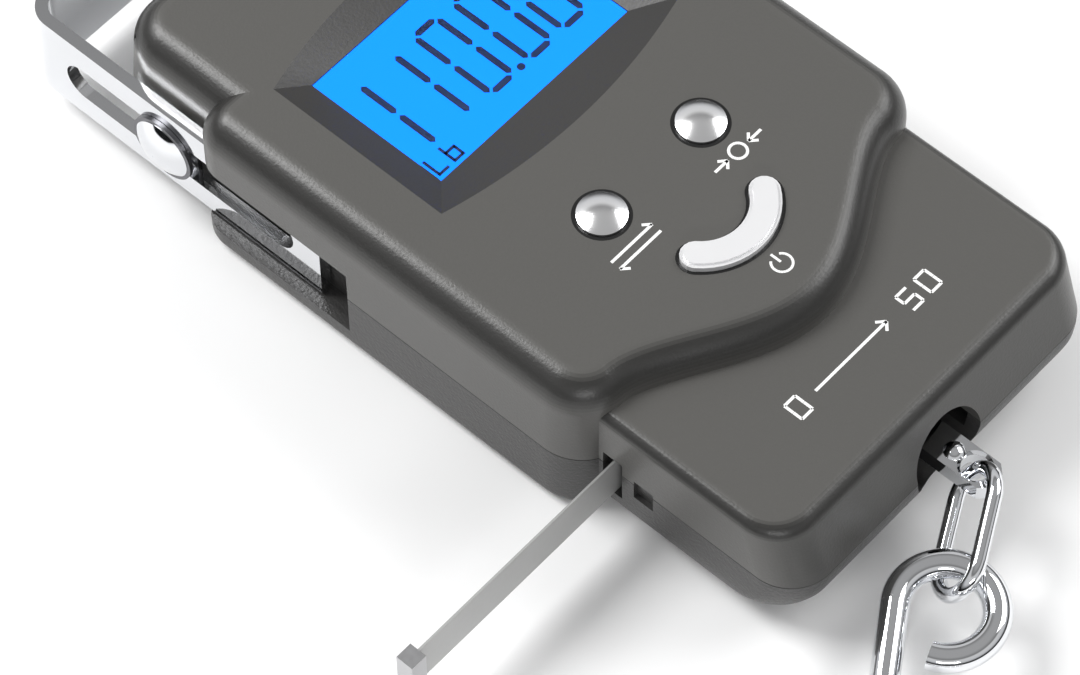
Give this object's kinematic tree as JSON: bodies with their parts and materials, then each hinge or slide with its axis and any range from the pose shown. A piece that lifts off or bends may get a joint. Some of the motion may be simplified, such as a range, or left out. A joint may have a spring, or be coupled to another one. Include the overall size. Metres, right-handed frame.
{
  "type": "digital fish scale",
  "caption": "Hand-held digital fish scale with sliding U handle, chain link, hook, push buttons, backlit display, battery door and pull-out tape.",
  "frame": {"origin": "centre line of the casing at the back face, 66 mm from the hole for the chain link", "axes": "+Z out of the display, +Y towards the handle, +X to the right of the display"},
  "size_m": [0.1054, 0.1952, 0.0283],
  "materials": {
    "casing": "satin, fine grain",
    "window": "clear",
    "display": "blue backlit",
    "board": "satin",
    "rubber_pad": "matte",
    "aluminium": "satin",
    "steel": "satin",
    "chrome": "polished",
    "dark_steel": "satin",
    "battery": "gloss",
    "wire": "satin",
    "tape": "satin"
  },
  "bodies": {
    "casing": {"front_shell": "casing", "rear_shell": "casing", "lcd_window": "window", "lcd_glass": "display", "lcd_backlight": "display", "circuit_board": "board", "keypad_pad": "rubber_pad", "load_cell": "aluminium", "strain_gauges": "board", "load_cell_screws": "steel", "anchor_bar": "steel", "handle_screws": "chrome", "handle_washers": "dark_steel", "load_bracket": "steel", "hook_block": "chrome", "block_rivets": "chrome", "battery_left": "battery", "battery_right": "battery", "battery_springs": "steel", "battery_plates": "steel", "tape_axle": "steel", "casing_screws": "dark_steel", "load_cell_wires": "wire", "battery_wires": "wire"},
    "handle": {"handle": "chrome"},
    "unit_button": {"unit_button": "chrome"},
    "tare_button": {"tare_button": "chrome"},
    "power_button": {"power_button": "chrome"},
    "link": {"chain_link": "chrome"},
    "hook": {"hook": "chrome"},
    "battery_door": {"battery_door": "casing"},
    "tape": {"tape_blade": "tape", "tape_tab": "dark_steel"},
    "spool": {"tape_spool": "rubber_pad", "tape_coil": "tape", "spool_spring": "dark_steel"}
  },
  "joints": [
    {"name": "handle_slide", "type": "slide", "parent": "casing", "child": "handle", "axis": [0, 1, 0], "range_m": [-0.012, 0.0205]},
    {"name": "unit_press", "type": "slide", "parent": "casing", "child": "unit_button", "axis": [0, 0, -1], "range_m": [0, 0.001], "stiffness_N_per_m": 400},
    {"name": "tare_press", "type": "slide", "parent": "casing", "child": "tare_button", "axis": [0, 0, -1], "range_m": [0, 0.001], "stiffness_N_per_m": 400},
    {"name": "power_press", "type": "slide", "parent": "casing", "child": "power_button", "axis": [0, 0, -1], "range_m": [0, 0.001], "stiffness_N_per_m": 400},
    {"name": "link_swing", "type": "hinge", "parent": "casing", "child": "link", "pos_m": [0, -0.0658, 0.0116], "axis": [0, 0, 1], "range_deg": [-4, 60]},
    {"name": "hook_swing", "type": "hinge", "parent": "link", "child": "hook", "pos_m": [-0.0107, -0.07265, 0.0088], "axis": [0.667, -0.745, 0], "range_deg": [-9, 30]},
    {"name": "door_slide", "type": "slide", "parent": "casing", "child": "battery_door", "axis": [0, -1, 0], "range_m": [0, 0.045]},
    {"name": "tape_pull", "type": "slide", "parent": "casing", "child": "tape", "axis": [-1, 0, 0], "range_m": [-0.037, 0.01]},
    {"name": "spool_turn", "type": "hinge", "parent": "casing", "child": "spool", "pos_m": [-0.017, -0.0415, 0.0098], "axis": [0, 0, 1], "range_deg": [-360, 360]}
  ],
  "couplings": [
    {"joint": "spool_turn", "follows": "tape_pull", "rad_per_m": 95.2}
  ]
}
